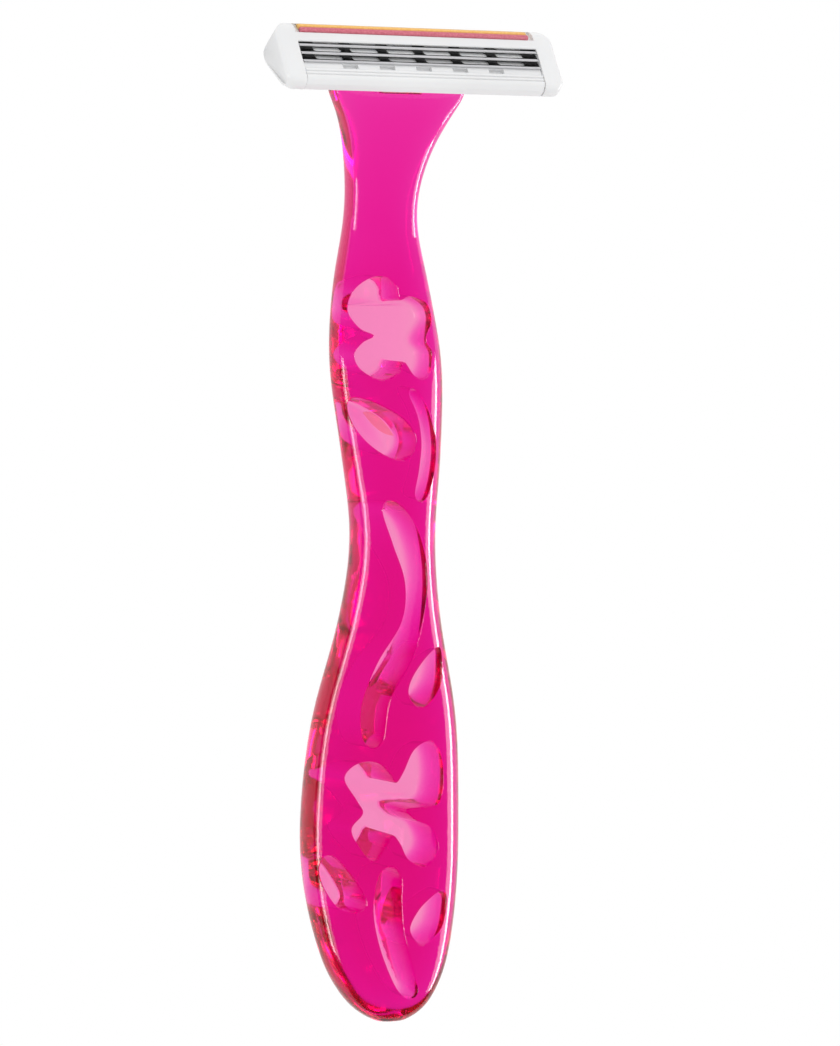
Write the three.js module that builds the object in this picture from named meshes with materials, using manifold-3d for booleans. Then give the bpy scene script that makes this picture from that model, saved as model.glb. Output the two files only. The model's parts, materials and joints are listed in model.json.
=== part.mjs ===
// A wet-shaving razor with a pivoting three-blade head, in millimetres.
// It lies on its back: X runs along the blades, Y from the handle's tip to the head, Z up.
import * as THREE from "three";
import Module from "manifold-3d";
import { mergeVertices } from "three/addons/utils/BufferGeometryUtils.js";

// Driving dimensions
const overallLength = 136.9;
const tipY = 0.2; // the tip is blunted by this much
const restFlat = 0.12; // how much of the back is worn flat where the razor rests
const pivotAt = { y: 131.4, z: 7.7 }; // pivot axis, y counted from the handle's tip
const headTilt = THREE.MathUtils.degToRad(33.3); // lean of the shaving face away from the handle
const pivotInHead = { v: 8.0, n: -7.6 }; // the same axis in the head's own section
const headHalfLength = 20.9;
const openingHalf = 18.0; // half the gap between the end walls
const bladeTilt = THREE.MathUtils.degToRad(25); // blade to shaving plane
const bladeSpan = 1.3; // edge to edge
const bladeThickness = 0.12;
const bladeDepth = 3.4;
const firstEdge = { v: 3.5, n: -0.05 };
const windowPitch = 5.5;
const windowLength = 4.1;
const stackGap = 0.03; // clearance between stacked pieces
const sideGap = 0.1; // clearance at the end walls
const armInner = 7.3; // inside faces of the handle's two arms
const earOuter = 7.1;
const earThickness = 1.7;
const pinRadius = 0.92;
const pinHoleRadius = 1.0;
const pinEnd = 9.8;
const armRadius = 1.8;
const crotchY = 129.2; // bottom of the gap between the arms
const tonguePocketY = 128.1; // the gap runs deeper under the neck's front, behind the tongue
const tonguePocketTop = 9.6;
const tongueRoot = { y: 128.9, z: 6.3, radius: 0.55 };
const tongueTip = { y: 130.2, z: 8.8, radius: 0.3 };
const tongueHalfWidth = 2.8;
const camAt = { v: 6.72, n: -6.19, radius: 0.5 }; // rib on the head's back that the tongue bears on
const webThickness = 1.3; // plastic left below a recess in the handle

// Handle stations from the tip: half width, half thickness, centre height, corner fullness
const stations = [
  { y: 0, wide: 0, thick: 0, z: 9.4, full: 2.3 },
  { y: 3, wide: 6.05, thick: 3.6, z: 8.6, full: 2.4 },
  { y: 9, wide: 9.35, thick: 4.7, z: 7.35, full: 2.6 },
  { y: 19, wide: 11.3, thick: 5.1, z: 5.7, full: 2.8 },
  { y: 28, wide: 11.65, thick: 5.2, z: 5.2, full: 2.8 },
  { y: 41, wide: 10.75, thick: 4.95, z: 6.15, full: 2.8 },
  { y: 55, wide: 7.55, thick: 4.6, z: 7.55, full: 2.7 },
  { y: 67, wide: 6.1, thick: 4.4, z: 8.28, full: 2.7 },
  { y: 79, wide: 7.3, thick: 4.2, z: 7.45, full: 2.7 },
  { y: 91, wide: 8.3, thick: 4.1, z: 5.45, full: 2.8 },
  { y: 101, wide: 7.1, thick: 3.7, z: 3.7, full: 3.0 },
  { y: 111, wide: 5.2, thick: 3.0, z: 3.05, full: 3.0 },
  { y: 119, wide: 5.9, thick: 2.8, z: 4.6, full: 3.2 },
  { y: 125, wide: 8.1, thick: 2.65, z: 7.15, full: 3.6 },
  { y: 127.6, wide: 9.7, thick: 2.25, z: 7.95, full: 4.2 },
  { y: 129.4, wide: 10.2, thick: 2.0, z: 7.9, full: 5 },
  { y: 131.4, wide: 10.3, thick: 1.8, z: 7.7, full: 5 },
  { y: 133.2, wide: 10.2, thick: 0.45, z: 7.7, full: 5 },
];

// Rims of the recesses in the handle's front, each a smooth closed curve, y counted from the tip
const recessRims = {
  upperFlower: [
    [-6.3, 98.3], [-5.4, 101.1], [-3.2, 102.8], [-1, 103.1], [0.6, 101.9], [1.1, 99.9], [2.9, 100.4], [5.3, 99.4],
    [6, 97.3], [4.8, 94.5], [5.7, 92.6], [4.9, 89.7], [2.7, 89.4], [1, 91.5], [0, 90], [-2.5, 89], [-5.2, 90.3],
    [-6, 92.3], [-4.8, 94], [-3.1, 95], [-5, 96],
  ],
  upperLeaf: [
    [-7.1, 85.6], [-6.1, 86.5], [-3, 85.5], [0.7, 83.2], [2, 80.6], [0.6, 78.3], [-2, 78.4], [-4.8, 80.3], [-6.6, 83],
  ],
  crescent: [
    [1.4, 87.1], [2.5, 87.6], [4.4, 84.8], [5.4, 80.3], [4.8, 76], [3.1, 72.5], [1.6, 73.1], [2.4, 76.6], [3, 80.3],
    [2.6, 84],
  ],
  longStem: [
    [-1.8, 72.4], [-3.2, 71.2], [-1.8, 66.5], [0.1, 61.1], [-0.2, 55.8], [-3.4, 50.3], [-5.5, 44.5], [-5.3, 40],
    [-3.8, 38.4], [-2.3, 39.8], [-1.6, 45], [1.5, 50.7], [3.2, 56.8], [3.4, 63], [1.5, 69.3],
  ],
  smallLeaf: [[5.9, 52], [6.6, 50.6], [6.4, 47], [4.9, 44.5], [3, 43.9], [1.4, 45.6], [1.8, 47.9], [3.8, 50.6]],
  lowerFlower: [
    [-7.5, 34.2], [-5.8, 36.2], [-3, 36.3], [-1, 34.6], [0, 33.4], [1.1, 34.9], [2.6, 37.9], [5, 39], [6.8, 37.4],
    [7.5, 33.5], [6.8, 30.2], [4.4, 29.9], [1.7, 29.7], [3, 28.2], [5.8, 26.9], [6.8, 24], [5, 21.7], [2.2, 22.6],
    [0.8, 25], [-0.4, 26.2], [-1.5, 24.6], [-3.3, 22.7], [-5.3, 24.7], [-6.4, 27.2], [-4.8, 29.3], [-5.6, 31],
  ],
  leftLeaf: [
    [-9.8, 23.5], [-8.3, 22.9], [-6, 20], [-4.6, 17.3], [-5.5, 15.8], [-8, 16.2], [-9.8, 18.8], [-10.5, 21.5],
  ],
  rightLeaf: [[7.3, 18], [8.1, 16.8], [7.2, 13.3], [5.2, 11.3], [3.3, 11.1], [2, 13.1], [3.4, 15.5], [5.5, 17.2]],
  lowerStem: [
    [-2.3, 20.9], [-0.6, 21.8], [0.8, 20.2], [0.7, 16.8], [0.9, 12.6], [2.2, 7.5], [2.9, 4.6], [1.5, 3.6],
    [-0.5, 5.4], [-2.5, 10.2], [-3.4, 15], [-3.1, 18.6],
  ],
};

const wasm = await Module();
wasm.setup();

// ---- solids ----

function toSolid(geometry) {
  const bare = geometry.clone();
  bare.deleteAttribute("normal");
  bare.deleteAttribute("uv");
  const merged = mergeVertices(bare, 1e-4);
  return new wasm.Manifold(
    new wasm.Mesh({
      numProp: 3,
      vertProperties: new Float32Array(merged.attributes.position.array),
      triVerts: new Uint32Array(merged.index.array),
    }),
  );
}

function toGeometry(solid) {
  const mesh = solid.getMesh();
  const geometry = new THREE.BufferGeometry();
  geometry.setAttribute("position", new THREE.BufferAttribute(new Float32Array(mesh.vertProperties), 3));
  geometry.setIndex(new THREE.BufferAttribute(new Uint32Array(mesh.triVerts), 1));
  geometry.computeVertexNormals();
  return geometry;
}

const joined = (solids) => solids.reduce((whole, solid) => whole.add(solid));

function box(x0, x1, y0, y1, z0, z1) {
  const geometry = new THREE.BoxGeometry(x1 - x0, y1 - y0, z1 - z0);
  geometry.translate((x0 + x1) / 2, (y0 + y1) / 2, (z0 + z1) / 2);
  return toSolid(geometry);
}

// A section drawn in (y, z), run along X from x0 to x1
function alongX(points, x0, x1) {
  const shape = new THREE.Shape(points.map(([y, z]) => new THREE.Vector2(y, z)));
  const geometry = new THREE.ExtrudeGeometry(shape, { depth: x1 - x0, bevelEnabled: false });
  const turn = new THREE.Matrix4().makeBasis(
    new THREE.Vector3(0, 1, 0), new THREE.Vector3(0, 0, 1), new THREE.Vector3(1, 0, 0),
  );
  geometry.applyMatrix4(turn);
  geometry.translate(x0, 0, 0);
  return toSolid(geometry);
}

// An outline drawn in (x, y), run along Z from z0 to z1
function alongZ(points, z0, z1) {
  const shape = new THREE.Shape(points.map(([x, y]) => new THREE.Vector2(x, y)));
  const geometry = new THREE.ExtrudeGeometry(shape, { depth: z1 - z0, bevelEnabled: false });
  geometry.translate(0, 0, z0);
  return toSolid(geometry);
}

function arc(y, z, radius, start, end, steps) {
  const points = [];
  for (let i = 0; i <= steps; i += 1) {
    const angle = THREE.MathUtils.degToRad(start + ((end - start) * i) / steps);
    points.push([y + radius * Math.cos(angle), z + radius * Math.sin(angle)]);
  }
  return points;
}

const roundAt = (y, z, radius, x0, x1) => alongX(arc(y, z, radius, 0, 345, 23), x0, x1);

// ---- handle ----

// Smooth value of one station column at y; widths run on their squares, so that the tip is round
function stationValue(key, y) {
  const power = key === "wide" || key === "thick" ? 2 : 1;
  const value = (i) => stations[i][key] ** power;
  const slope = (i) => {
    const a = Math.max(i - 1, 0);
    const b = Math.min(i + 1, stations.length - 1);
    return (value(b) - value(a)) / (stations[b].y - stations[a].y);
  };
  let i = stations.findIndex((station) => station.y > y) - 1;
  if (i < 0) i = y <= 0 ? 0 : stations.length - 2;
  const step = stations[i + 1].y - stations[i].y;
  const t = Math.min((y - stations[i].y) / step, 1);
  const result =
    (2 * t ** 3 - 3 * t ** 2 + 1) * value(i) +
    (t ** 3 - 2 * t ** 2 + t) * step * slope(i) +
    (-2 * t ** 3 + 3 * t ** 2) * value(i + 1) +
    (t ** 3 - t ** 2) * step * slope(i + 1);
  return Math.max(result, 0) ** (1 / power);
}

function handleRings() {
  const rings = [tipY, 0.7, 1.5, 2.6, 4.2, 6.3];
  for (let y = 9; y < 124; y += 4) rings.push(y);
  rings.push(126, 127.6, 129.4, 130.6, 131.6, 132.3, 132.8, 133.1, 133.2);
  return rings;
}

// A closed loft through the stations, drawn in all round by `inset`
function handleLoft(rings, inset, sides) {
  const positions = [];
  const index = [];
  for (const y of rings) {
    const wide = Math.max(stationValue("wide", y) - inset, 0.05);
    const thick = Math.max(stationValue("thick", y) - inset, 0.05);
    const centre = stationValue("z", y);
    const power = 2 / stationValue("full", y);
    for (let k = 0; k < sides; k += 1) {
      const angle = (2 * Math.PI * (k + 0.5)) / sides;
      const c = Math.cos(angle);
      const s = Math.sin(angle);
      positions.push(
        wide * Math.sign(c) * Math.abs(c) ** power, y, centre + thick * Math.sign(s) * Math.abs(s) ** power,
      );
    }
  }
  const ring = (i, k) => i * sides + (k % sides);
  for (let i = 0; i + 1 < rings.length; i += 1) {
    for (let k = 0; k < sides; k += 1) {
      index.push(ring(i, k), ring(i + 1, k), ring(i, k + 1));
      index.push(ring(i, k + 1), ring(i + 1, k), ring(i + 1, k + 1));
    }
  }
  const last = rings.length - 1;
  const hub = positions.length / 3;
  positions.push(0, rings[0], stationValue("z", rings[0]), 0, rings[last], stationValue("z", rings[last]));
  for (let k = 0; k < sides; k += 1) {
    index.push(hub, ring(0, k), ring(0, k + 1));
    index.push(hub + 1, ring(last, k + 1), ring(last, k));
  }
  const geometry = new THREE.BufferGeometry();
  geometry.setAttribute("position", new THREE.Float32BufferAttribute(positions, 3));
  geometry.setIndex(index);
  return toSolid(geometry);
}

// Points of the smooth closed curve through a rim's corners, counterclockwise
function rimPoints(corners) {
  const curve = new THREE.CatmullRomCurve3(corners.map(([x, y]) => new THREE.Vector3(x, y, 0)), true);
  const points = curve.getPoints(corners.length * 2).slice(0, -1);
  if (THREE.ShapeUtils.area(points) < 0) points.reverse();
  return points.map(({ x, y }) => [x, y]);
}

function recesses(rings) {
  const top = 20;
  const cut = joined(Object.values(recessRims).map((rim) => alongZ(rimPoints(rim), 0, top)));
  const middle = rings.map((y) => [y, stationValue("z", y)]);
  const aboveMiddle = alongX([...middle, [middle.at(-1)[0], top], [middle[0][0], top]], -12, 12);
  return cut.intersect(handleLoft(rings, webThickness, 28).add(aboveMiddle));
}

function makeHandle() {
  const rings = handleRings();
  const tonguePocketHalf = tongueHalfWidth + 0.3;
  const end = tipY + overallLength;
  return handleLoft(rings, 0, 36)
    .subtract(recesses(rings))
    .subtract(box(-armInner, armInner, crotchY, end, 0, 20))
    .subtract(box(-tonguePocketHalf, tonguePocketHalf, tonguePocketY, end, 0, tonguePocketTop))
    .subtract(roundAt(pivotAt.y, pivotAt.z, pinHoleRadius, -12, 12))
    .subtract(box(-20, 20, -5, end, -5, restFlat));
}

// ---- return tongue ----

// A point of the head's section (v up the face, n out of it) in the razor's (y, z)
function headPoint(v, n) {
  const dv = v - pivotInHead.v;
  const dn = n - pivotInHead.n;
  return [
    pivotAt.y + dv * Math.cos(headTilt) + dn * Math.sin(headTilt),
    pivotAt.z - dv * Math.sin(headTilt) + dn * Math.cos(headTilt),
  ];
}

function makeTongue() {
  const lean = THREE.MathUtils.radToDeg(Math.atan2(tongueTip.z - tongueRoot.z, tongueTip.y - tongueRoot.y));
  const outline = [
    ...arc(tongueRoot.y, tongueRoot.z, tongueRoot.radius, lean + 90, lean + 270, 10),
    ...arc(tongueTip.y, tongueTip.z, tongueTip.radius, lean - 90, lean + 90, 8),
  ];
  return alongX(outline, -tongueHalfWidth, tongueHalfWidth);
}

// ---- head, drawn in its own frame: x along the blades, y = v up the face, z = n out of it ----

// The slanted back runs from the guard's heel to the deepest point
const backFrom = [0.45, -2.2];
const backTo = [6.5, -5.4];

const endSection = [
  [0.3, -2.15], [0.35, -0.95], [0.7, -0.3], [1.2, -0.02], [8.8, 0], [9.6, -0.2], [10.3, -0.75],
  [10.65, -1.5], [10.55, -2.7], [10.0, -4.1], [9.2, -5.1], [8.2, -5.55], [7.2, -5.6], backTo, [1.1, -2.6],
];

const capSection = [
  [6.9, -0.31], [6.93, -0.08], [7.1, 0], [8.35, 0], [8.35, -0.45], [10.25, -1.2], [10.3, -0.75],
  [10.65, -1.5], [10.55, -2.7], [10.0, -4.1], [9.2, -5.1], [8.95, -4.75], [9.45, -3.6], [9.6, -2.4], [9.5, -1.52],
];

const baseSection = [
  backFrom, [0.5, -1.0], [0.95, -0.35], [1.25, -0.12], [1.5, -0.12], [1.62, -0.3], [1.74, -0.12], [2.0, -0.1],
  [2.12, -0.28], [2.24, -0.1], [2.5, -0.08], [2.66, -0.3], [3.35, -0.34], [3.7, -0.34], [6.7, -1.74],
  [9.3, -2.95], [9.3, -3.4], [8.85, -4.45], [8.1, -5.35], [7.2, -5.5], backTo,
];

// Plan outline of the head: its corners are cut back at both ends
function planOutline() {
  const half = headHalfLength;
  const right = [[half - 0.9, 0], [half, 1.5], [half, 8.6], [half - 0.3, 9.4], [half - 1.7, 10.8]];
  return [...right, ...right.map(([x, v]) => [-x, v]).reverse()];
}

function makeCover() {
  const wall = (side) => alongX(endSection, side < 0 ? -22 : openingHalf, side < 0 ? -openingHalf : 22);
  const bar = alongX(capSection, -openingHalf - 0.5, openingHalf + 0.5);
  return joined([wall(-1), wall(1), bar]).intersect(alongZ(planOutline(), -7, 2));
}

function eachWindow(make) {
  return joined([-2.5, -1.5, -0.5, 0.5, 1.5, 2.5].map((i) => make(i * windowPitch)));
}

function makeBase() {
  const half = openingHalf - sideGap;
  const rinse = eachWindow((x) => box(x - windowLength / 2, x + windowLength / 2, 5.5, 6.3, -6, 1));
  const notch = (i) => box(i * windowPitch - 1.15, i * windowPitch + 1.15, 2.75, 3.5, -1.0, 1);
  const notches = joined([-2, -1, 0, 1, 2].map(notch));
  const { v, n } = pivotInHead;
  const earSection = [[6.4, -5.0], ...arc(v, n, armRadius, 190, 400, 12), [8.5, -4.7]];
  const ears = [-1, 1].map((side) => {
    const inner = side * (earOuter - earThickness);
    const outer = side * earOuter;
    const ear = alongX(earSection, Math.min(inner, outer), Math.max(inner, outer));
    return ear.add(roundAt(v, n, pinRadius, side < 0 ? -pinEnd : earOuter - 0.5, side < 0 ? -earOuter + 0.5 : pinEnd));
  });
  const camSection = [
    [camAt.v - 0.6, -5.0], ...arc(camAt.v, camAt.n, camAt.radius, 170, 370, 10), [camAt.v + 0.7, -5.2],
  ];
  const cam = alongX(camSection, -tongueHalfWidth, tongueHalfWidth);
  const body = alongX(baseSection, -half, half).subtract(rinse).subtract(notches);
  return joined([body, cam, ...ears]);
}

// A point `along` the blade from edge number i and `lift` above its mid plane
function bladePoint(i, along, lift) {
  const c = Math.cos(bladeTilt);
  const s = Math.sin(bladeTilt);
  return [firstEdge.v + i * bladeSpan + along * c + lift * s, firstEdge.n - along * s + lift * c];
}

function makeBlade(i) {
  const half = openingHalf - sideGap;
  const t = bladeThickness / 2;
  const bevel = 0.5;
  const section = [
    bladePoint(i, 0, 0), bladePoint(i, bevel, -t), bladePoint(i, bladeDepth, -t),
    bladePoint(i, bladeDepth, t), bladePoint(i, bevel, t),
  ];
  const [v0] = bladePoint(i, 0.68, 0);
  const [v1] = bladePoint(i, 1.9, 0);
  const windows = eachWindow((x) => box(x - windowLength / 2, x + windowLength / 2, v0, v1, -4, 2));
  return alongX(section, -half, half).subtract(windows);
}

function makeSpacer(i) {
  const half = openingHalf - sideGap;
  const low = bladeThickness / 2 + stackGap;
  const high = bladeSpan * Math.sin(bladeTilt) - bladeThickness / 2 - stackGap;
  const front = 1.85;
  const section = [
    bladePoint(i, front, low), bladePoint(i, bladeDepth, low), bladePoint(i, bladeDepth, high),
    bladePoint(i, front, high),
  ];
  return alongX(section, -half, half);
}

const stripHalf = 17.2;
const pinkSection = [
  [8.4, -0.4], [8.4, 0.02], [8.5, 0.18], [8.7, 0.26], [8.95, 0.2], [9.15, 0.02], [9.24, -0.2], [9.24, -0.74],
];
const yellowSection = [[9.3, -0.76], [9.3, -0.2], [9.45, -0.12], [9.75, -0.22], [10.05, -0.5], [10.2, -0.85], [10.2, -1.11]];

// ---- the assembly ----

const finishes = {
  pinkClear: { color: 0xe81e86, roughness: 0.12, metalness: 0, transparent: true, opacity: 0.85 },
  whitePlastic: { color: 0xebecee, roughness: 0.35, metalness: 0 },
  steel: { color: 0x9a9da1, roughness: 0.2, metalness: 1 },
  pinkStrip: { color: 0xdc7d8c, roughness: 0.6, metalness: 0 },
  yellowStrip: { color: 0xfcd078, roughness: 0.6, metalness: 0 },
};

function named(name, solid, finish) {
  const mesh = new THREE.Mesh(toGeometry(solid), new THREE.MeshStandardMaterial(finishes[finish]));
  mesh.name = name;
  return mesh;
}

const razor = new THREE.Group();
razor.position.y = -tipY - overallLength / 2;
razor.position.z = -restFlat;
razor.add(named("handle", makeHandle(), "pinkClear"));
razor.add(named("return_tongue", makeTongue(), "pinkClear"));

const head = new THREE.Group();
const [headY, headZ] = headPoint(0, 0);
head.position.set(0, headY, headZ);
head.rotation.x = -headTilt;
head.add(named("head_base", makeBase(), "whitePlastic"));
["blade_front", "blade_middle", "blade_rear"].forEach((name, i) => head.add(named(name, makeBlade(i), "steel")));
["spacer_front", "spacer_rear"].forEach((name, i) => head.add(named(name, makeSpacer(i), "whitePlastic")));
head.add(named("head_cover", makeCover(), "whitePlastic"));
head.add(named("lubricating_strip_front", alongX(pinkSection, -stripHalf, stripHalf), "pinkStrip"));
head.add(named("lubricating_strip_rear", alongX(yellowSection, -stripHalf, stripHalf), "yellowStrip"));
razor.add(head);

export default razor;
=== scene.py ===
import json
import math

import bpy
from mathutils import Matrix, Vector


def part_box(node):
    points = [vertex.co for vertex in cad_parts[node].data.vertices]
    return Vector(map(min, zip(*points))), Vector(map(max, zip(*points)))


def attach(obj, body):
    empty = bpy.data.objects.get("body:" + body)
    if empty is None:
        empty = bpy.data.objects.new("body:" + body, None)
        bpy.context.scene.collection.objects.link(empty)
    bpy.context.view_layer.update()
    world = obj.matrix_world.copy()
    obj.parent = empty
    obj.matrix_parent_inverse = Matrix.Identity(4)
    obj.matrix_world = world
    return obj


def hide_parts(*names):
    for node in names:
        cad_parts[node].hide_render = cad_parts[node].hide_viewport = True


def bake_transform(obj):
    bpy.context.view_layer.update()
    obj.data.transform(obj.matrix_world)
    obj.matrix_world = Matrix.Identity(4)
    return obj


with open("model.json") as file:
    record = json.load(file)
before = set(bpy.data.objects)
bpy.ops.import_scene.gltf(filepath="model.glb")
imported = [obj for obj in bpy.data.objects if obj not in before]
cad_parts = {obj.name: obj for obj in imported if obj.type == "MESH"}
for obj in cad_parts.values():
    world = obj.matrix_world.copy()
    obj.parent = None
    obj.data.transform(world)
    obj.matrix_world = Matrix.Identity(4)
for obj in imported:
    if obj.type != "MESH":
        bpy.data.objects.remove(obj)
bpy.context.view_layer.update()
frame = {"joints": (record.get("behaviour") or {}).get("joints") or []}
mm = 0.001
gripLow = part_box("handle")[0]
pivot = Vector(next(joint["pos_m"] for joint in frame["joints"] if joint["name"] == "head_pivot"))


def clearSelection():
    if bpy.context.mode != "OBJECT":
        bpy.ops.object.mode_set(mode="OBJECT")
    bpy.ops.object.select_all(action="DESELECT")


def pickUp(piece):
    clearSelection()
    piece.select_set(True)
    bpy.context.view_layer.objects.active = piece


def rolledSkin(name, rings):
    # a grid rolled round a row of rings, its seam merged and both ends filled
    clearSelection()
    around = len(rings[0])
    bpy.ops.mesh.primitive_grid_add(x_subdivisions=around, y_subdivisions=len(rings) - 1, size=1)
    piece = bpy.context.active_object
    piece.name = name
    for row, ring in enumerate(rings):
        for k in range(around + 1):
            piece.data.vertices[row * (around + 1) + k].co = ring[k % around]
    bpy.ops.object.mode_set(mode="EDIT")
    bpy.ops.mesh.select_all(action="SELECT")
    bpy.ops.mesh.remove_doubles(threshold=1e-7)
    bpy.ops.mesh.fill_holes(sides=0)
    bpy.ops.mesh.select_all(action="SELECT")
    bpy.ops.mesh.normals_make_consistent(inside=False)
    bpy.ops.object.mode_set(mode="OBJECT")
    return piece


def joinAll(pieces, name):
    clearSelection()
    for piece in pieces:
        piece.select_set(True)
    bpy.context.view_layer.objects.active = pieces[0]
    bpy.ops.object.join()
    pieces[0].name = name
    return pieces[0]


def carve(piece, tool, operation="DIFFERENCE"):
    pickUp(piece)
    cut = piece.modifiers.new("carve", "BOOLEAN")
    cut.object = tool
    cut.operation = operation
    cut.solver = "EXACT"
    cut.use_self = operation == "UNION"
    bpy.ops.object.modifier_apply(modifier=cut.name)
    bpy.data.objects.remove(tool)
    return piece


def smoothUpTo(piece, degrees):
    pickUp(piece)
    bpy.ops.object.shade_smooth_by_angle(angle=math.radians(degrees))


def offsetLoop(loop, distance):
    # a closed flat loop moved along its normals, outwards for a counterclockwise one
    moved = []
    for k, point in enumerate(loop):
        before = (point - loop[k - 1]).normalized()
        after = (loop[(k + 1) % len(loop)] - point).normalized()
        outBefore = Vector((before.y, -before.x))
        outAfter = Vector((after.y, -after.x))
        out = (outBefore + outAfter).normalized()
        moved.append(point + out * (distance / max(out.dot(outBefore), 0.5)))
    return moved


def softened(corners, radius, steps=3):
    # a closed outline, counterclockwise, with each corner rounded off
    loop = []
    for k, corner in enumerate(corners):
        here = Vector(corner)
        towards = Vector(corners[k - 1]) - here
        onwards = Vector(corners[(k + 1) % len(corners)]) - here
        start = here + towards.normalized() * min(radius, towards.length * 0.45)
        end = here + onwards.normalized() * min(radius, onwards.length * 0.45)
        for i in range(steps + 1):
            t = i / steps
            loop.append(start * (1 - t) ** 2 + here * 2 * t * (1 - t) + end * t ** 2)
    area = sum(a.x * b.y - b.x * a.y for a, b in zip(loop, loop[1:] + loop[:1]))
    return loop if area > 0 else loop[::-1]


def arc(centre, radius, start, end, steps):
    angles = [math.radians(start + (end - start) * i / steps) for i in range(steps + 1)]
    return [(centre[0] + radius * math.cos(a), centre[1] + radius * math.sin(a)) for a in angles]


def newMaterial(name):
    material = bpy.data.materials.new(name)
    material.use_nodes = True
    return material, material.node_tree, material.node_tree.nodes["Principled BSDF"]


def addNode(tree, kind, **settings):
    node = tree.nodes.new(kind)
    for key, value in settings.items():
        if key in node.inputs:
            node.inputs[key].default_value = value
        else:
            setattr(node, key, value)
    return node


def grainAt(tree, scale, stretch=(1, 1, 1), detail=2.0):
    # noise on object coordinates, stretched out along an axis whose factor is under 1
    place = tree.nodes.new("ShaderNodeTexCoord")
    mapping = tree.nodes.new("ShaderNodeMapping")
    mapping.inputs["Scale"].default_value = stretch
    noise = addNode(tree, "ShaderNodeTexNoise", Scale=scale, Detail=detail)
    tree.links.new(place.outputs["Object"], mapping.inputs["Vector"])
    tree.links.new(mapping.outputs["Vector"], noise.inputs["Vector"])
    return noise


def rampOf(tree, source, stops):
    ramp = tree.nodes.new("ShaderNodeValToRGB")
    ramp.color_ramp.elements[0].position, ramp.color_ramp.elements[0].color = stops[0]
    ramp.color_ramp.elements[1].position, ramp.color_ramp.elements[1].color = stops[1]
    tree.links.new(source, ramp.inputs["Fac"])
    return ramp


def bumpFrom(tree, shader, source, strength, height):
    bump = addNode(tree, "ShaderNodeBump", Strength=strength, Distance=height * mm)
    tree.links.new(source, bump.inputs["Height"])
    tree.links.new(bump.outputs["Normal"], shader.inputs["Normal"])


def shadeOf(level):
    return (level, level, level, 1)


def clearMagenta():
    settings = {
        "tint": (0.985, 0.62, 0.61, 1), "ior": 1.49, "roughness": 0.07,
        "inside": (0.962, 0.0, 0.84, 1),  # the colour that passes
        "density": 660.0,  # its strength per metre
        "ripple": 0.12, "rippleScale": 2600.0, "rippleStretch": (1, 0.35, 1), "rippleHeight": 0.02,
    }
    material, tree, shader = newMaterial("clearMagentaPlastic")
    shader.inputs["Base Color"].default_value = settings["tint"]
    shader.inputs["Transmission Weight"].default_value = 1.0
    shader.inputs["IOR"].default_value = settings["ior"]
    shader.inputs["Roughness"].default_value = settings["roughness"]
    ripple = grainAt(tree, settings["rippleScale"], settings["rippleStretch"])
    bumpFrom(tree, shader, ripple.outputs["Fac"], settings["ripple"], settings["rippleHeight"])
    volume = addNode(
        tree, "ShaderNodeVolumeAbsorption", Color=settings["inside"], Density=settings["density"]
    )
    tree.links.new(volume.outputs["Volume"], tree.nodes["Material Output"].inputs["Volume"])
    return material


def whitePlastic(name, low, high):
    settings = {
        "mottle": 60.0, "mottleRange": (0.35, 0.65),
        "grain": 5200.0, "grainRange": (0.3, 0.7), "grainBump": 0.12, "grainHeight": 0.01,
        "roughLow": 0.3, "roughHigh": 0.42,
        "depth": 0.12, "depthScale": 0.5, "depthColours": (1.0, 0.9, 0.8),  # light scattered under the skin
    }
    material, tree, shader = newMaterial(name)
    mottle = grainAt(tree, settings["mottle"], detail=3.0)
    start, end = settings["mottleRange"]
    tone = rampOf(tree, mottle.outputs["Fac"], [
        (start, (low, low * 1.004, low * 1.012, 1)), (end, (high, high * 1.004, high * 1.01, 1)),
    ])
    tree.links.new(tone.outputs["Color"], shader.inputs["Base Color"])
    grain = grainAt(tree, settings["grain"])
    start, end = settings["grainRange"]
    gloss = rampOf(tree, grain.outputs["Fac"], [
        (start, shadeOf(settings["roughLow"])), (end, shadeOf(settings["roughHigh"])),
    ])
    tree.links.new(gloss.outputs["Color"], shader.inputs["Roughness"])
    bumpFrom(tree, shader, grain.outputs["Fac"], settings["grainBump"], settings["grainHeight"])
    shader.inputs["Subsurface Weight"].default_value = settings["depth"]
    shader.inputs["Subsurface Scale"].default_value = settings["depthScale"] * mm
    shader.inputs["Subsurface Radius"].default_value = settings["depthColours"]
    return material


def steelFinish(name, low, high, roughness, grainScale, metallic=1.0):
    # drawn strip: fine lines run along the blade
    settings = {"lineStretch": (0.02, 1, 1), "toneRange": (0.3, 0.7), "glossRange": (0.2, 0.8)}
    material, tree, shader = newMaterial(name)
    shader.inputs["Metallic"].default_value = metallic
    lines = grainAt(tree, grainScale, settings["lineStretch"], detail=4.0)
    start, end = settings["toneRange"]
    tone = rampOf(tree, lines.outputs["Fac"], [
        (start, (low, low, low * 1.03, 1)), (end, (high, high, high * 1.03, 1)),
    ])
    tree.links.new(tone.outputs["Color"], shader.inputs["Base Color"])
    start, end = settings["glossRange"]
    gloss = rampOf(tree, lines.outputs["Fac"], [
        (start, shadeOf(roughness * 0.8)), (end, shadeOf(roughness * 1.25)),
    ])
    tree.links.new(gloss.outputs["Color"], shader.inputs["Roughness"])
    bumpFrom(tree, shader, lines.outputs["Fac"], strength=0.08, height=0.005)
    return material


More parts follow.
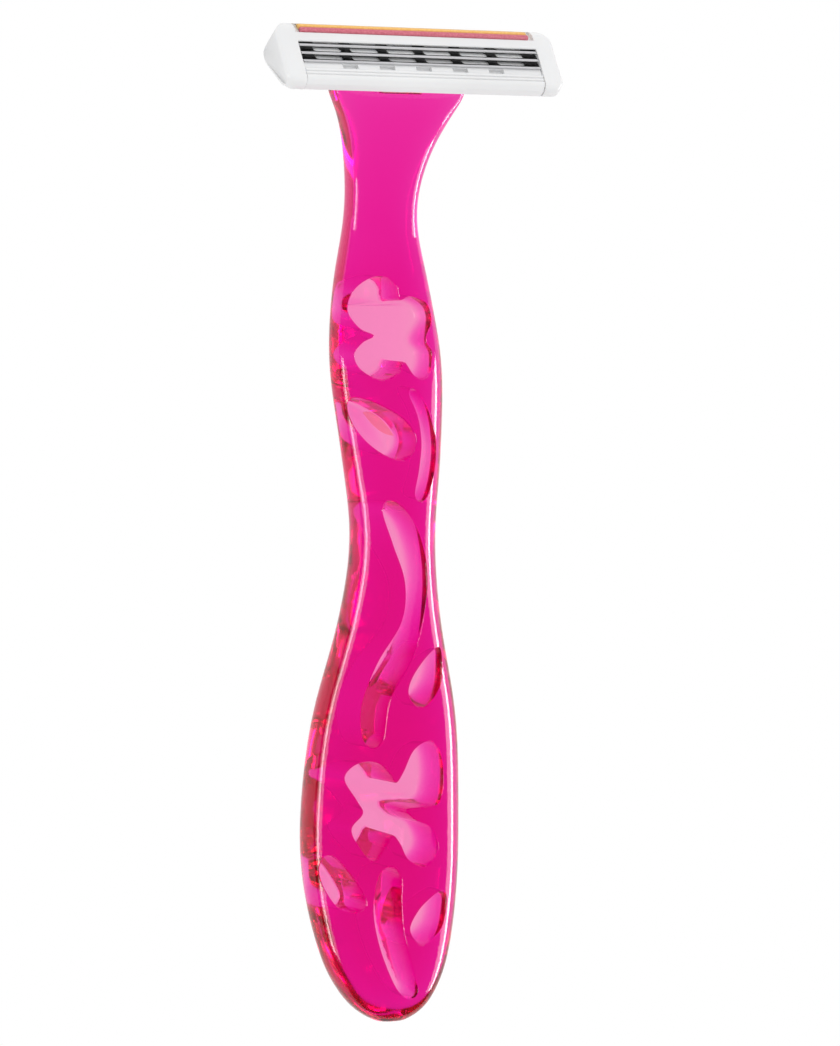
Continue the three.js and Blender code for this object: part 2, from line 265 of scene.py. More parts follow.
def softStrip(name, pale, deep, roughness):
    # waxy polymer, with a fine pitted grain
    settings = {"pits": 4200.0, "pitRange": (0.32, 0.68), "pitBump": 0.5, "pitHeight": 0.04}
    material, tree, shader = newMaterial(name)
    pits = grainAt(tree, settings["pits"], detail=3.0)
    start, end = settings["pitRange"]
    tone = rampOf(tree, pits.outputs["Fac"], [(start, deep), (end, pale)])
    tree.links.new(tone.outputs["Color"], shader.inputs["Base Color"])
    shader.inputs["Roughness"].default_value = roughness
    bumpFrom(tree, shader, pits.outputs["Fac"], settings["pitBump"], settings["pitHeight"])
    return material


finishes = {
    "pinkClear": clearMagenta(),
    "white": whitePlastic("whiteMouldedPlastic", low=0.79, high=0.83),
    # the spacers' white is a paler copy of the moulded white, painted light that lifts the shade they sit
    # in under the blades
    "spacerWhitePaintedLight": whitePlastic("whiteSpacerPlasticPaintedLight", low=0.9, high=0.94),
    "darkSteel": steelFinish("darkBladeSteel", low=0.035, high=0.075, roughness=0.24, grainScale=5200.0),
    # the ground bevel is a pale, partly matt copy of the blade steel; its brightness is a painted
    # reflection standing in for the silver shine of the edge
    "groundEdgePaintedSheen": steelFinish(
        "groundBladeEdgePaintedSheen", low=0.56, high=0.76, roughness=0.3, grainScale=6000.0, metallic=0.35
    ),
    "pinkStrip": softStrip(
        "pinkLubricatingStrip", pale=(0.72, 0.2, 0.26, 1), deep=(0.56, 0.11, 0.16, 1), roughness=0.55
    ),
    "yellowStrip": softStrip(
        "yellowLubricatingStrip", pale=(0.95, 0.6, 0.19, 1), deep=(0.86, 0.46, 0.1, 1), roughness=0.5
    ),
}
print("materials made")


def finishPiece(piece, finish, body, nodes):
    if finish:
        piece.data.materials.clear()
        piece.data.materials.append(finishes[finish])
    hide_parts(*nodes)
    if body:
        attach(piece, body)
    print("made", piece.name, len(piece.data.polygons), "faces")


handle = {
    "tip": 0.2,  # how far the tip is blunted, so that 0 is where its curve would end
    "rest": 0.12,  # how much of the back is flat where it rests
    # where the rings lie, counted from the tip: close at both ends and evenly spaced between them
    "tipRings": [0.2, 0.5, 1.1, 2.0, 3.2, 4.8, 6.8, 9],
    "middleRings": 32, "middleSpacing": 3.5,
    "forkRings": [123.5, 125.8, 127.6, 129.4, 130.9, 132, 132.7, 133.1, 133.2],
    "around": 24,  # corners of a ring
    "smoothing": 2, "smoothAngle": 30,
    # from the tip: half width, half thickness, centre height, corner fullness
    "stations": [
        (0, 0, 0, 9.4, 2.3), (3, 6.05, 3.6, 8.6, 2.4), (9, 9.35, 4.7, 7.35, 2.35),
        (19, 11.3, 5.1, 5.7, 2.6), (28, 11.65, 5.2, 5.2, 2.6), (41, 10.75, 4.95, 6.15, 2.5),
        (55, 7.55, 4.6, 7.55, 2.3), (67, 6.1, 4.4, 8.28, 2.15), (79, 7.3, 4.2, 7.45, 2.15),
        (91, 8.3, 4.1, 5.45, 2.25), (101, 7.1, 3.7, 3.7, 2.6), (111, 5.2, 3.0, 3.05, 2.7),
        (119, 5.9, 2.8, 4.6, 3.2), (125, 8.1, 2.65, 7.15, 3.6), (127.6, 9.7, 2.25, 7.95, 4.2),
        (129.4, 10.2, 2.0, 7.9, 5), (131.4, 10.3, 1.8, 7.7, 5), (133.2, 10.2, 0.45, 7.7, 5),
    ],
    "outside": 30,  # a height well clear of the handle, above or below
    "web": 1.3,  # plastic left under a recess
    "rim": 0.2,  # width of a recess's eased rim
    "draft": 0.12,  # how much the wall leans in
    "fillet": 0.4,  # at the foot of the wall
    # rings down the rim: share of its width outside the wall, and depth under the front
    "rimRings": [(1.2, -0.8), (1, -0.03), (0.5, 0.06), (0.15, 0.17), (0, 0.36)],
    # rings down the fillet: share of it inwards, and share of it above the floor
    "filletRings": [(0, 1.6), (0.14, 0.6), (0.5, 0.15), (1, 0)],
    "rimSteps": 12, "rimSpacing": 0.42,  # curve steps from corner to corner, and the points' final spacing
    "floorAlong": 1.3, "floorAcross": 1.6,  # spacing of the floor's own points
    "floorBelow": 0.6, "floorAbove": 0.2,  # how far its faces lie from its outline's height
    "armInner": 7.3, "crotch": 129.2, "crotchEase": 0.4,
    "pocket": 128.1, "pocketTop": 9.6, "pocketHalf": 3.1, "pocketEase": 0.25,
    "pinHole": 1.0, "pinReach": 12,
    "cutEnd": 140, "cutLow": -5, "cutHigh": 25,  # the cutting boxes run this far, past the plastic
    "restCut": ((-30, -10, -6), (30, 150)), "restEase": 0.01,
}

# rims of the recesses: corners of smooth closed curves, counted from the tip
recessRims = {
    "upperFlower": [
        (-6.3, 98.3), (-5.4, 101.1), (-3.2, 102.8), (-1, 103.1), (0.6, 101.9), (1.1, 99.9),
        (2.9, 100.4), (5.3, 99.4), (6, 97.3), (4.8, 94.5), (5.7, 92.6), (4.9, 89.7), (2.7, 89.4),
        (1, 91.5), (0, 90), (-2.5, 89), (-5.2, 90.3), (-6, 92.3), (-4.8, 94), (-3.1, 95), (-5, 96),
    ],
    "upperLeaf": [
        (-7.1, 85.6), (-6.1, 86.5), (-3, 85.5), (0.7, 83.2), (2, 80.6), (0.6, 78.3), (-2, 78.4),
        (-4.8, 80.3), (-6.6, 83),
    ],
    "crescent": [
        (1.4, 87.1), (2.5, 87.6), (4.4, 84.8), (5.4, 80.3), (4.8, 76), (3.1, 72.5), (1.6, 73.1),
        (2.4, 76.6), (3, 80.3), (2.6, 84),
    ],
    "longStem": [
        (-1.8, 72.4), (-3.2, 71.2), (-1.8, 66.5), (0.1, 61.1), (-0.2, 55.8), (-3.4, 50.3), (-5.5, 44.5),
        (-5.3, 40), (-3.8, 38.4), (-2.3, 39.8), (-1.6, 45), (1.5, 50.7), (3.2, 56.8), (3.4, 63),
        (1.5, 69.3),
    ],
    "smallLeaf": [
        (5.9, 52), (6.6, 50.6), (6.4, 47), (4.9, 44.5), (3, 43.9), (1.4, 45.6), (1.8, 47.9),
        (3.8, 50.6),
    ],
    "lowerFlower": [
        (-7.5, 34.2), (-5.8, 36.2), (-3, 36.3), (-1, 34.6), (0, 33.4), (1.1, 34.9), (2.6, 37.9),
        (5, 39), (6.8, 37.4), (7.5, 33.5), (6.8, 30.2), (4.4, 29.9), (1.7, 29.7), (3, 28.2),
        (5.8, 26.9), (6.8, 24), (5, 21.7), (2.2, 22.6), (0.8, 25), (-0.4, 26.2), (-1.5, 24.6),
        (-3.3, 22.7), (-5.3, 24.7), (-6.4, 27.2), (-4.8, 29.3), (-5.6, 31),
    ],
    "leftLeaf": [
        (-9.8, 23.5), (-8.3, 22.9), (-6, 20), (-4.6, 17.3), (-5.5, 15.8), (-8, 16.2), (-9.8, 18.8),
        (-10.5, 21.5),
    ],
    "rightLeaf": [
        (7.3, 18), (8.1, 16.8), (7.2, 13.3), (5.2, 11.3), (3.3, 11.1), (2, 13.1), (3.4, 15.5),
        (5.5, 17.2),
    ],
    "lowerStem": [
        (-2.3, 20.9), (-0.6, 21.8), (0.8, 20.2), (0.7, 16.8), (0.9, 12.6), (2.2, 7.5), (2.9, 4.6),
        (1.5, 3.6), (-0.5, 5.4), (-2.5, 10.2), (-3.4, 15), (-3.1, 18.6),
    ],
}


def onRazor(x, fromTip, z):
    # millimetres counted from the tip, to the frame's metres
    return Vector((x * mm, gripLow.y + (fromTip - handle["tip"]) * mm, (z - handle["rest"]) * mm))


def stationValue(column, y):
    # smooth value between stations; widths run on their squares, so that the tip is round
    rows = handle["stations"]
    power = 2 if column in (1, 2) else 1
    value = [row[column] ** power for row in rows]
    last = len(rows) - 1
    i = max(k for k in range(last) if rows[k][0] <= max(y, 0))

    def slope(k):
        a, b = max(k - 1, 0), min(k + 1, last)
        return (value[b] - value[a]) / (rows[b][0] - rows[a][0])

    step = rows[i + 1][0] - rows[i][0]
    t = min((y - rows[i][0]) / step, 1)
    result = (
        (2 * t ** 3 - 3 * t ** 2 + 1) * value[i] + (t ** 3 - 2 * t ** 2 + t) * step * slope(i)
        + (3 * t ** 2 - 2 * t ** 3) * value[i + 1] + (t ** 3 - t ** 2) * step * slope(i + 1)
    )
    return max(result, 0) ** (1 / power)


def handleRing(y):
    wide, thick, centre, full = (stationValue(column, y) for column in (1, 2, 3, 4))
    # subdivision draws a ring in, so it is made larger by as much
    grow = 1 / ((4 + 2 * math.cos(2 * math.pi / handle["around"])) / 6)
    ring = []
    for k in range(handle["around"]):
        angle = 2 * math.pi * (k + 0.5) / handle["around"]
        c, s = math.cos(angle), math.sin(angle)
        x = wide * grow * math.copysign(abs(c) ** (2 / full), c)
        z = centre + thick * grow * math.copysign(abs(s) ** (2 / full), s)
        ring.append(onRazor(x, y, z))
    return ring


def curvePoint(a, b, c, d, t):
    # a place on the smooth curve from b to c, between its neighbours a and d
    square, cube = 2 * a - 5 * b + 4 * c - d, 3 * b - a - 3 * c + d
    return 0.5 * (2 * b + (c - a) * t + square * t ** 2 + cube * t ** 3)


def smoothRim(corners):
    # evenly spaced points along the closed curve through the corners, counterclockwise
    dense = []
    count, steps = len(corners), handle["rimSteps"]
    for k in range(count):
        four = [Vector(corners[(k + step) % count]) for step in (-1, 0, 1, 2)]
        dense += [curvePoint(*four, i / steps) for i in range(steps)]
    if sum(a.x * b.y - b.x * a.y for a, b in zip(dense, dense[1:] + dense[:1])) < 0:
        dense.reverse()
    closed = dense + dense[:1]
    lengths = [0]
    for a, b in zip(closed, closed[1:]):
        lengths.append(lengths[-1] + (b - a).length)
    pieces = round(lengths[-1] / handle["rimSpacing"])
    points, k = [], 0
    for i in range(pieces):
        target = lengths[-1] * i / pieces
        while lengths[k + 1] < target:
            k += 1
        share = (target - lengths[k]) / (lengths[k + 1] - lengths[k])
        points.append(closed[k].lerp(closed[k + 1], share))
    return points


def skinHeight(body, x, fromTip, fromAbove):
    # height of the handle's front or back at a place, in millimetres
    start = onRazor(x, fromTip, handle["outside"] if fromAbove else -handle["outside"])
    hit, place, normal, face = body.ray_cast(start, Vector((0, 0, -1 if fromAbove else 1)))
    if not hit:
        return stationValue(3, fromTip)
    return place.z / mm + handle["rest"]


def recessTool(name, corners, body):
    # a plug that follows the handle's front at its rim and its back at its floor
    outline = smoothRim(corners)
    rings = []
    for share, depth in handle["rimRings"]:
        loop = offsetLoop(outline, handle["rim"] * share)
        rings.append([onRazor(p.x, p.y, skinHeight(body, p.x, p.y, True) - depth) for p in loop])
    for share, rise in handle["filletRings"]:
        loop = offsetLoop(outline, -handle["draft"] - handle["fillet"] * share)
        floor = [skinHeight(body, p.x, p.y, False) + handle["web"] for p in loop]
        rings.append([onRazor(p.x, p.y, z + handle["fillet"] * rise) for p, z in zip(loop, floor)])
    tool = rolledSkin(name, rings)
    if not name.endswith("Leaf"):  # the short ones are flat enough
        layFloor(tool, body, rings[-1])
    return tool


def layFloor(tool, body, lastRing):
    # the floor face is cut into a grid, and each new point is laid at the web's height
    mesh = tool.data
    ringPlaces = {tuple(round(c, 7) for c in point) for point in lastRing}

    def isFloor(face):
        places = {tuple(round(c, 7) for c in mesh.vertices[v].co) for v in face.vertices}
        return len(face.vertices) == len(lastRing) and places <= ringPlaces

    for element in (*mesh.polygons, *mesh.edges, *mesh.vertices):
        element.select = False
    next(face for face in mesh.polygons if isFloor(face)).select = True
    known = len(mesh.vertices)
    low = Vector(map(min, *lastRing))
    high = Vector(map(max, *lastRing))
    bpy.ops.object.mode_set(mode="EDIT")
    bpy.ops.mesh.select_mode(type="FACE")
    for axis, spacing in ((1, handle["floorAlong"]), (0, handle["floorAcross"])):
        count = int((high[axis] - low[axis]) / (spacing * mm))
        for i in range(1, count + 1):
            place, normal = low.copy(), Vector()
            place[axis] = low[axis] + (high[axis] - low[axis]) * i / (count + 1)
            normal[axis] = 1
            bpy.ops.mesh.bisect(plane_co=place, plane_no=normal, threshold=1e-7)
            bpy.ops.mesh.select_mode(type="FACE")
            bpy.ops.object.mode_set(mode="OBJECT")
            selectFloor(mesh, low.z, high.z)
            bpy.ops.object.mode_set(mode="EDIT")
    bpy.ops.mesh.select_mode(type="VERT")
    bpy.ops.object.mode_set(mode="OBJECT")
    for vertex in mesh.vertices[known:]:
        x, fromTip = vertex.co.x / mm, (vertex.co.y - gripLow.y) / mm + handle["tip"]
        vertex.co = onRazor(x, fromTip, skinHeight(body, x, fromTip, False) + handle["web"])


def selectFloor(mesh, low, high):
    # every face that lies flat at the bottom of the plug
    lowest, highest = low - handle["floorBelow"] * mm, high + handle["floorAbove"] * mm
    for face in mesh.polygons:
        face.select = face.normal.z < -0.9 and lowest < face.center.z < highest


def plainBox(name, low, high, ease):
    # a box between two corners, counted from the tip, with eased edges
    clearSelection()
    lowest, highest = onRazor(*low), onRazor(*high)
    bpy.ops.mesh.primitive_cube_add(size=1, location=(lowest + highest) / 2, scale=highest - lowest)
    piece = bpy.context.active_object
    piece.name = name
    bpy.ops.object.transform_apply(location=True, rotation=False, scale=True)
    bpy.ops.object.mode_set(mode="EDIT")
    bpy.ops.mesh.select_all(action="SELECT")
    bpy.ops.mesh.bevel(offset=ease * mm, segments=3)
    bpy.ops.object.mode_set(mode="OBJECT")
    return piece


def roundBar(name, place, radius, low, high, ease=0.0, sides=40):
    # a round bar along the blades, with eased ends
    ends = [(low, ease), (low + 0.3 * ease, 0.3 * ease), (low + ease, 0)]
    ends += [(high - ease, 0), (high - 0.3 * ease, 0.3 * ease), (high, ease)]
    turns = [2 * math.pi * k / sides for k in range(sides)]
    rings = []
    for x, inset in ends:
        reach = (radius - inset) * mm
        around = [(place.y + reach * math.cos(a), place.z + reach * math.sin(a)) for a in turns]
        rings.append([Vector((x * mm, y, z)) for y, z in around])
    return rolledSkin(name, rings)


def cutFork(body):
    low, high, end = handle["cutLow"], handle["cutHigh"], handle["cutEnd"]
    half, crotch = handle["armInner"], handle["crotch"]
    carve(body, plainBox("crotch", (-half, crotch, low), (half, end, high), handle["crotchEase"]))
    half, pocket, top = handle["pocketHalf"], handle["pocket"], handle["pocketTop"]
    carve(body, plainBox("pocket", (-half, pocket, low), (half, end, top), handle["pocketEase"]))
    carve(body, roundBar("pinHole", pivot, handle["pinHole"], -handle["pinReach"], handle["pinReach"]))
    lowest, (right, end) = handle["restCut"]
    carve(body, plainBox("restPlane", lowest, (right, end, handle["rest"]), handle["restEase"]))
    return body


def makeHandle():
    places = list(handle["tipRings"])
    start, spacing = places[-1], handle["middleSpacing"]
    places += [start + spacing * (k + 1) for k in range(handle["middleRings"])]
    places += handle["forkRings"]
    body = rolledSkin("clearHandle", [handleRing(y) for y in places])
    pickUp(body)
    smoothing = body.modifiers.new("smoothing", "SUBSURF")
    smoothing.levels = smoothing.render_levels = handle["smoothing"]
    bpy.ops.object.modifier_apply(modifier=smoothing.name)
    tools = [recessTool(name, corners, body) for name, corners in recessRims.items()]
    carve(body, joinAll(tools, "recessTools"))
    return cutFork(body)


clearHandle = makeHandle()
smoothUpTo(clearHandle, handle["smoothAngle"])
finishPiece(clearHandle, "pinkClear", "grip", ["handle"])


tongue = {
    "root": (128.9, 6.3), "rootRadius": 0.55, "tip": (130.2, 8.8), "tipRadius": 0.3, "half": 2.8,
    "rootSteps": 12, "tipSteps": 10, "sideSteps": 6,  # steps round each end, and along each side
    "ease": 0.12, "smoothAngle": 35,
    "bendFrom": (0, -0.4), "bendTo": (0.3, 0.5),  # the bend lies between these, counted from the root
}


def makeTongue():
    root, tip = Vector(tongue["root"]), Vector(tongue["tip"])
    lean = math.degrees(math.atan2(tip.y - root.y, tip.x - root.x))
    outline = arc(root, tongue["rootRadius"], lean + 90, lean + 270, tongue["rootSteps"])
    outline += arc(tip, tongue["tipRadius"], lean - 90, lean + 90, tongue["tipSteps"])
    loop = []
    for k, point in enumerate(outline):
        here, following = Vector(point), Vector(outline[(k + 1) % len(outline)])
        steps = tongue["sideSteps"] if (following - here).length > 1 else 1
        loop += [here.lerp(following, i / steps) for i in range(steps)]
    half, ease = tongue["half"], tongue["ease"]
    rings = []
    for x, inset in [(-half, ease), (-half + ease, 0), (half - ease, 0), (half, ease)]:
        rings.append([onRazor(x, p.x, p.y) for p in offsetLoop(loop, -inset)])
    piece = rolledSkin("returnSpringTongue", rings)
    smoothUpTo(piece, tongue["smoothAngle"])
    finishPiece(piece, "pinkClear", None, ["return_tongue"])
    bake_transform(piece)


makeTongue()


# the head is drawn across the blades: v runs up the shaving face, n out of it
head = {
    "tilt": math.radians(33.3), "pivot": (8.0, -7.6), "half": 20.9, "opening": 18.0, "sideGap": 0.1,
    "windowPitch": 5.5, "windowLength": 4.1, "windows": 6,
}


def onHead(x, v, n):
    dv, dn = v - head["pivot"][0], n - head["pivot"][1]
    c, s = math.cos(head["tilt"]), math.sin(head["tilt"])
    return Vector((x * mm, pivot.y + (dv * c + dn * s) * mm, pivot.z + (dn * c - dv * s) * mm))


def crossBar(name, loop, half, ease):
    # a section run along the blades, its two ends eased
    rings = []
    for x, inset in [(-half, ease), (-half + 0.4 * ease, 0.4 * ease), (-half + ease, 0)]:
        rings.append([onHead(x, p.x, p.y) for p in offsetLoop(loop, -inset)])
    rings += [[Vector((-point.x, point.y, point.z)) for point in ring] for ring in reversed(rings)]
    return rolledSkin(name, rings)


def windowPlugs(name, span, place, radius, length, count):
    # rounded plugs through a part, one at each pitch; place(x, along, side) gives a point of a plug
    plugs = []
    low, high = span
    for k in range(count):
        x0 = (k - (count - 1) / 2) * head["windowPitch"] - length / 2
        corners = [(x0, low), (x0 + length, low), (x0 + length, high), (x0, high)]
        loop = softened(corners, radius, steps=5)
        plugs.append(rolledSkin(name, [[place(p.x, p.y, side) for p in loop] for side in (-1, 1)]))
    return joinAll(plugs, name)


# cap bar and both end walls, in one moulding
cover = {
    "end": [
        (0.3, -2.15), (0.35, -0.95), (0.7, -0.3), (1.2, -0.02), (8.8, 0), (9.6, -0.2), (10.3, -0.75),
        (10.65, -1.5), (10.55, -2.7), (10.0, -4.1), (9.2, -5.1), (8.2, -5.55), (7.2, -5.6), (6.5, -5.4),
        (1.1, -2.6),
    ],
    "cap": [
        (6.9, -0.31), (6.93, -0.08), (7.1, 0), (8.35, 0), (8.35, -0.45), (10.25, -1.2), (10.3, -0.75),
        (10.65, -1.5), (10.55, -2.7), (10.0, -4.1), (9.2, -5.1), (8.95, -4.75), (9.45, -3.6),
        (9.6, -2.4), (9.5, -1.52),
    ],
    "endRound": 0.45, "capRound": 0.14, "smoothAngle": 32,
    "overlap": 0.4,  # how far the cap bar runs into the walls
    "wallRings": [  # place along the blades and inset, a hair outside the cap bar so that no faces coincide
        (18.0, 0.08), (18.03, 0.01), (18.1, -0.02), (20.1, -0.02), (20.45, 0.04), (20.7, 0.17),
        (20.84, 0.36), (20.9, 0.62),
    ],
    "spine": ((1.7, -1.3), (9.0, -2.5)),  # the middle of the wall, that its eased edges are drawn towards
    # how far the outer corners are cut back at the guard and at the cap, and where that begins
    "guardTrim": 0.9, "guardTo": 1.5, "capTrim": 1.7, "capFrom": 8.2, "capSpan": 2.6, "capCurve": 1.5,
}


def wallTrim(v):
    atGuard = cover["guardTrim"] * max(cover["guardTo"] - v, 0) / cover["guardTo"]
    intoCap = max(v - cover["capFrom"], 0) / cover["capSpan"]
    return atGuard + cover["capTrim"] * intoCap ** cover["capCurve"]


def drawnIn(loop, inset):
    # an end wall's outline moved towards the middle line of the wall
    start, end = (Vector(place) for place in cover["spine"])
    along = end - start
    drawn = []
    for point in loop:
        share = min(max((point - start).dot(along) / along.length_squared, 0), 1)
        drawn.append(point + (start + along * share - point).normalized() * inset)
    return drawn


def makeWall(side):
    loop = softened(cover["end"], cover["endRound"])
    inner = cover["wallRings"][0][0]
    rings = []
    for x, inset in cover["wallRings"]:
        share = (x - inner) / (head["half"] - inner)
        outline = drawnIn(loop, inset)
        rings.append([onHead(side * (x - wallTrim(p.x) * share), p.x, p.y) for p in outline])
    return rolledSkin("endWall", rings)


def makeCover():
    loop = softened(cover["cap"], cover["capRound"])
    piece = crossBar("headCover", loop, head["opening"] + cover["overlap"], 0)
    for side in (-1, 1):
        carve(piece, makeWall(side), "UNION")
    smoothUpTo(piece, cover["smoothAngle"])
    finishPiece(piece, "white", "head", ["head_cover"])


makeCover()


# guard, blade seat, ears, trunnions and cam rib, in one moulding
base = {
    "section": [
        (0.45, -2.2), (0.5, -1.0), (0.95, -0.35), (1.25, -0.12), (1.5, -0.12), (1.62, -0.42),
        (1.74, -0.12), (2.0, -0.1), (2.12, -0.4), (2.24, -0.1), (2.5, -0.08), (2.66, -0.42),
        (2.8, -0.34), (3.35, -0.34), (3.7, -0.34), (6.7, -1.74), (9.3, -2.95), (9.3, -3.4),
        (8.85, -4.45), (8.1, -5.35), (7.2, -5.5), (6.5, -5.4),
    ],
    "round": 0.07, "ease": 0.06, "smoothAngle": 32,
    "rinse": (5.5, 6.3), "rinseRound": 0.25, "rinseMiddle": -2.5, "rinseReach": 3.6,
    "notch": (2.75, 3.5), "notchFloor": -1.0, "notchLength": 2.3, "notchRound": 0.12, "notches": 5,
    "earOuter": 7.1, "earThickness": 1.7, "armRadius": 1.8, "armTurn": (190, 400), "armSteps": 20,
    "earFeet": [(6.4, -5.0), (8.5, -4.7)], "earRound": 0.1, "earEase": 0.12,
    "pinRadius": 0.92, "pinEnd": 9.8, "pinRoot": 0.6, "pinEase": 0.15,
    "cam": (6.72, -6.19), "camRadius": 0.5, "camTurn": (170, 370), "camSteps": 12, "camHalf": 2.8,
    "camFeet": [(-0.6, -5.0), (0.7, -5.2)],  # counted from the cam's middle, and in depth
    "camRound": 0.05,
}


def cutSlots(piece):
    # rinse slots behind the blades' windows, and notches in front of the first blade
    middle, reach = base["rinseMiddle"], base["rinseReach"]
    carve(piece, windowPlugs(
        "rinse", base["rinse"], lambda x, v, side: onHead(x, v, middle + reach * side),
        base["rinseRound"], head["windowLength"], head["windows"],
    ))
    notchMiddle = base["notchFloor"] + 1
    carve(piece, windowPlugs(
        "notches", base["notch"], lambda x, v, side: onHead(x, v, notchMiddle + side),
        base["notchRound"], base["notchLength"], base["notches"],
    ))


def addEar(piece, side):
    # an ear that stands down from the base, with its trunnion
    foot, heel = base["earFeet"]
    turn = arc(head["pivot"], base["armRadius"], *base["armTurn"], base["armSteps"])
    loop = softened([foot] + turn + [heel], base["earRound"], steps=1)
    outer, inner, ease = base["earOuter"], base["earOuter"] - base["earThickness"], base["earEase"]
    rings = []
    for x, inset in [(inner, ease), (inner + ease, 0), (outer - ease, 0), (outer, ease)]:
        rings.append([onHead(side * x, p.x, p.y) for p in offsetLoop(loop, -inset)])
    carve(piece, rolledSkin("ear", rings), "UNION")
    low, high = sorted((side * (outer - base["pinRoot"]), side * base["pinEnd"]))
    axis = onHead(0, *head["pivot"])
    carve(piece, roundBar("trunnion", axis, base["pinRadius"], low, high, base["pinEase"]), "UNION")


def addCam(piece):
    middle = base["cam"][0]
    front, back = ((middle + along, depth) for along, depth in base["camFeet"])
    turn = arc(base["cam"], base["camRadius"], *base["camTurn"], base["camSteps"])
    loop = softened([front] + turn + [back], base["camRound"], steps=1)
    half = base["camHalf"]
    cam = rolledSkin("cam", [[onHead(x, p.x, p.y) for p in loop] for x in (-half, half)])
    carve(piece, cam, "UNION")


def makeBase():
    loop = softened(base["section"], base["round"])
    piece = crossBar("headBase", loop, head["opening"] - head["sideGap"], base["ease"])
    cutSlots(piece)
    for side in (-1, 1):
        addEar(piece, side)
    addCam(piece)
    smoothUpTo(piece, base["smoothAngle"])
    finishPiece(piece, "white", "head", ["head_base"])


makeBase()


blade = {
    "tilt": math.radians(25), "span": 1.3, "thickness": 0.12, "depth": 3.4, "first": (3.5, -0.05),
    "bevel": 0.5, "knee": (0.3, 0.75),  # shares of the bevel's length and of half the thickness
    "window": (0.72, 1.95), "windowRadius": 0.42, "plugReach": 0.3, "ease": 0.01, "smoothAngle": 12,
    "names": ["Front", "Middle", "Rear"],
}
spacer = {
    "front": 1.85, "stackGap": 0.03, "round": 0.05, "ease": 0.04, "smoothAngle": 30,
    "names": ["Front", "Rear"],
}


def onBlade(i, along, lift):
    c, s = math.cos(blade["tilt"]), math.sin(blade["tilt"])
    v, n = blade["first"]
    return (v + i * blade["span"] + along * c + lift * s, n - along * s + lift * c)


def alongBlade(i, place):
    # how far a point lies behind the edge of blade number i
    edge = onHead(0, *onBlade(i, 0, 0))
    back = onHead(0, *onBlade(i, 1, 0)) - edge
    return (place - edge).dot(back.normalized()) / mm


def makeBlade(i):
    name = blade["names"][i]
    t, half = blade["thickness"] / 2, head["opening"] - head["sideGap"]
    depth, bevel = blade["depth"], blade["bevel"]
    kneeAt, kneeHalf = bevel * blade["knee"][0], t * blade["knee"][1]
    profile = [
        (0, 0), (kneeAt, -kneeHalf), (bevel, -t), (depth, -t), (depth, t), (bevel, t), (kneeAt, kneeHalf),
    ]
    loop = [Vector(onBlade(i, along, lift)) for along, lift in profile]
    piece = crossBar("blade" + name, loop, half, blade["ease"])
    plugs = windowPlugs(
        "bladeWindows", blade["window"],
        lambda x, along, side: onHead(x, *onBlade(i, along, blade["plugReach"] * side)),
        blade["windowRadius"], head["windowLength"], head["windows"],
    )
    carve(piece, plugs)
    smoothUpTo(piece, blade["smoothAngle"])
    piece.data.materials.clear()
    piece.data.materials.append(finishes["darkSteel"])
    # the bevel's finish is the pale copy of the steel, a painted reflection; the rest of the blade keeps
    # the near-black steel
    piece.data.materials.append(finishes["groundEdgePaintedSheen"])
    for face in piece.data.polygons:
        face.material_index = 1 if alongBlade(i, face.center) < bevel else 0
    finishPiece(piece, None, "head", ["blade_" + name.lower()])


def makeSpacer(i):
    name = spacer["names"][i]
    low = blade["thickness"] / 2 + spacer["stackGap"]
    high = blade["span"] * math.sin(blade["tilt"]) - blade["thickness"] / 2 - spacer["stackGap"]
    front, depth = spacer["front"], blade["depth"]
    profile = [(front, low), (depth, low), (depth, high), (front, high)]
    loop = softened([onBlade(i, along, lift) for along, lift in profile], spacer["round"])
    piece = crossBar("spacer" + name, loop, head["opening"] - head["sideGap"], spacer["ease"])
    smoothUpTo(piece, spacer["smoothAngle"])
    # the spacers take the paler white, painted light against the shade between the blades
    finishPiece(piece, "spacerWhitePaintedLight", "head", ["spacer_" + name.lower()])


for number in range(len(blade["names"])):
    makeBlade(number)
for number in range(len(spacer["names"])):
    makeSpacer(number)


strips = {
    "half": 17.2, "round": 0.12, "ease": 0.1, "smoothAngle": 40,
    "pink": [
        (8.4, -0.42), (8.4, -0.02), (8.52, 0.2), (8.78, 0.26), (9.05, 0.16), (9.2, -0.06), (9.24, -0.3),
        (9.24, -0.74),
    ],
    "yellow": [
        (9.3, -0.76), (9.3, -0.2), (9.45, -0.12), (9.75, -0.22), (10.05, -0.5), (10.2, -0.85),
        (10.2, -1.11),
    ],
}
for colour, place in (("pink", "front"), ("yellow", "rear")):
    loop = softened(strips[colour], strips["round"])
    strip = crossBar(colour + "Strip", loop, strips["half"], strips["ease"])
    smoothUpTo(strip, strips["smoothAngle"])
    finishPiece(strip, colour + "Strip", "head", ["lubricating_strip_" + place])


studio = {
    "target": (5.4, 0.35, 5.7), "direction": (-0.438, 0.054, 0.898), "distance": 650.0, "roll": 0.7,
    "lens": 161.1, "clip": (0.01, 20),
    "background": 1.0, "fill": 0.98, "gloss": 0.12, "floorSize": 3, "floorDrop": 0.05,
    "lightReach": 0.5,  # metres from the razor's middle to each light
    # azimuth, elevation, width, length, watts, shift along the razor, and whether it lights matt surfaces
    "lights": {
        "leftStrip": (180, 22, 0.07, 0.36, 0.7, -0.04, False),
        "leftGlow": (180, 24, 0.22, 0.36, 0.7, -0.04, False),
        "rightStrip": (0, 8, 0.06, 0.36, 0.8, -0.07, False),
        "rightGlow": (0, 12, 0.18, 0.36, 0.7, -0.07, False),
        "topGlow": (90, 50, 0.5, 0.5, 0.35, 0.0, True),
    },
    "bounces": 32, "glossBounces": 16,  # the clear plastic turns light inwards many times
}


